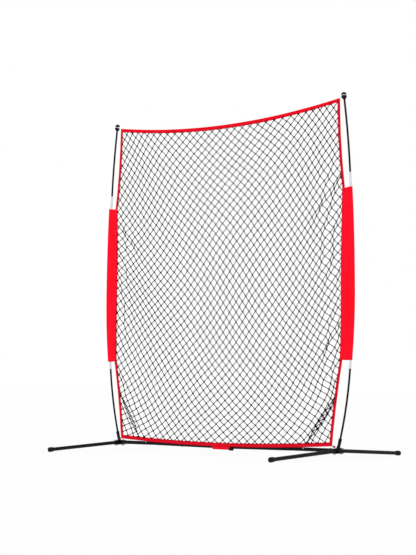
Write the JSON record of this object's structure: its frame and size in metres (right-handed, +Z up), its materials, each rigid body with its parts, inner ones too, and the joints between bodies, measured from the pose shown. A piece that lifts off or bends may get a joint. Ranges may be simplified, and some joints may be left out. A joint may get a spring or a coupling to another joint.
{
  "type": "pitching target net",
  "caption": "Knotted net with a red border, held between two bowed sectional poles on a tube base with fold-out legs.",
  "frame": {"origin": "on the ground, midway between the two hubs", "axes": "+X along the base bar to the right-hand hub, +Y away from the side that is pitched at, +Z up"},
  "size_m": [2.0042, 1.2512, 2.1332],
  "materials": {
    "black_steel": "satin",
    "bright_steel": "polished",
    "pole_fibre": "satin",
    "black_plastic": "satin",
    "foot_rubber": "matte",
    "red_cloth": "matte",
    "net_twine": "matte",
    "pale_elastic": "matte"
  },
  "bodies": {
    "frame": {"left_hub": "black_steel", "right_hub": "black_steel", "left_pole_socket": "black_steel", "right_pole_socket": "black_steel", "left_net_hook": "black_steel", "right_net_hook": "black_steel", "left_base_arm": "black_steel", "right_base_arm": "black_steel", "left_base_tube": "black_steel", "right_base_tube": "black_steel", "base_coupler": "black_steel", "arm_bolts": "black_steel", "arm_nuts": "bright_steel", "pivot_bolts": "black_steel", "pivot_nuts": "bright_steel", "left_rod_1": "pole_fibre", "left_rod_2": "pole_fibre", "left_rod_3": "pole_fibre", "left_rod_4": "pole_fibre", "right_rod_1": "pole_fibre", "right_rod_2": "pole_fibre", "right_rod_3": "pole_fibre", "right_rod_4": "pole_fibre", "left_ferrules": "bright_steel", "right_ferrules": "bright_steel", "left_core_cord": "pale_elastic", "right_core_cord": "pale_elastic", "left_tip_knob": "black_plastic", "right_tip_knob": "black_plastic", "net": "net_twine", "top_border": "red_cloth", "bottom_border": "red_cloth", "left_border": "red_cloth", "right_border": "red_cloth", "left_sleeve": "red_cloth", "right_sleeve": "red_cloth", "top_left_loop": "pale_elastic", "top_right_loop": "pale_elastic", "bottom_left_loop": "red_cloth", "bottom_right_loop": "red_cloth", "centre_strap": "red_cloth", "strap_toggle": "black_plastic", "strap_cord": "pale_elastic"},
    "front_left_leg": {"front_left_leg_inner": "black_steel", "front_left_leg_outer": "black_steel", "front_left_foot_cap": "foot_rubber"},
    "front_right_leg": {"front_right_leg_inner": "black_steel", "front_right_leg_outer": "black_steel", "front_right_foot_cap": "foot_rubber"},
    "back_left_leg": {"back_left_leg_inner": "black_steel", "back_left_leg_outer": "black_steel", "back_left_foot_cap": "foot_rubber"},
    "back_right_leg": {"back_right_leg_inner": "black_steel", "back_right_leg_outer": "black_steel", "back_right_foot_cap": "foot_rubber"},
    "left_snap": {"left_snap_button": "bright_steel", "left_snap_spring": "bright_steel"},
    "right_snap": {"right_snap_button": "bright_steel", "right_snap_spring": "bright_steel"}
  },
  "joints": [
    {"name": "front_left_leg_fold", "type": "hinge", "parent": "frame", "child": "front_left_leg", "pos_m": [-0.88, -0.032, 0.045], "axis": [0, 0, 1], "range_deg": [0, 90]},
    {"name": "front_right_leg_fold", "type": "hinge", "parent": "frame", "child": "front_right_leg", "pos_m": [0.88, -0.032, 0.045], "axis": [0, 0, -1], "range_deg": [0, 90]},
    {"name": "back_left_leg_fold", "type": "hinge", "parent": "frame", "child": "back_left_leg", "pos_m": [-0.88, 0.032, 0.045], "axis": [0, 0, -1], "range_deg": [0, 90]},
    {"name": "back_right_leg_fold", "type": "hinge", "parent": "frame", "child": "back_right_leg", "pos_m": [0.88, 0.032, 0.045], "axis": [0, 0, 1], "range_deg": [0, 90]},
    {"name": "left_snap_press", "type": "slide", "parent": "frame", "child": "left_snap", "axis": [0, 0.866, -0.5], "range_m": [0, 0.005], "stiffness_N_per_m": 500, "springref_m": -0.002},
    {"name": "right_snap_press", "type": "slide", "parent": "frame", "child": "right_snap", "axis": [0, 0.866, -0.5], "range_m": [0, 0.005], "stiffness_N_per_m": 500, "springref_m": -0.002}
  ]
}
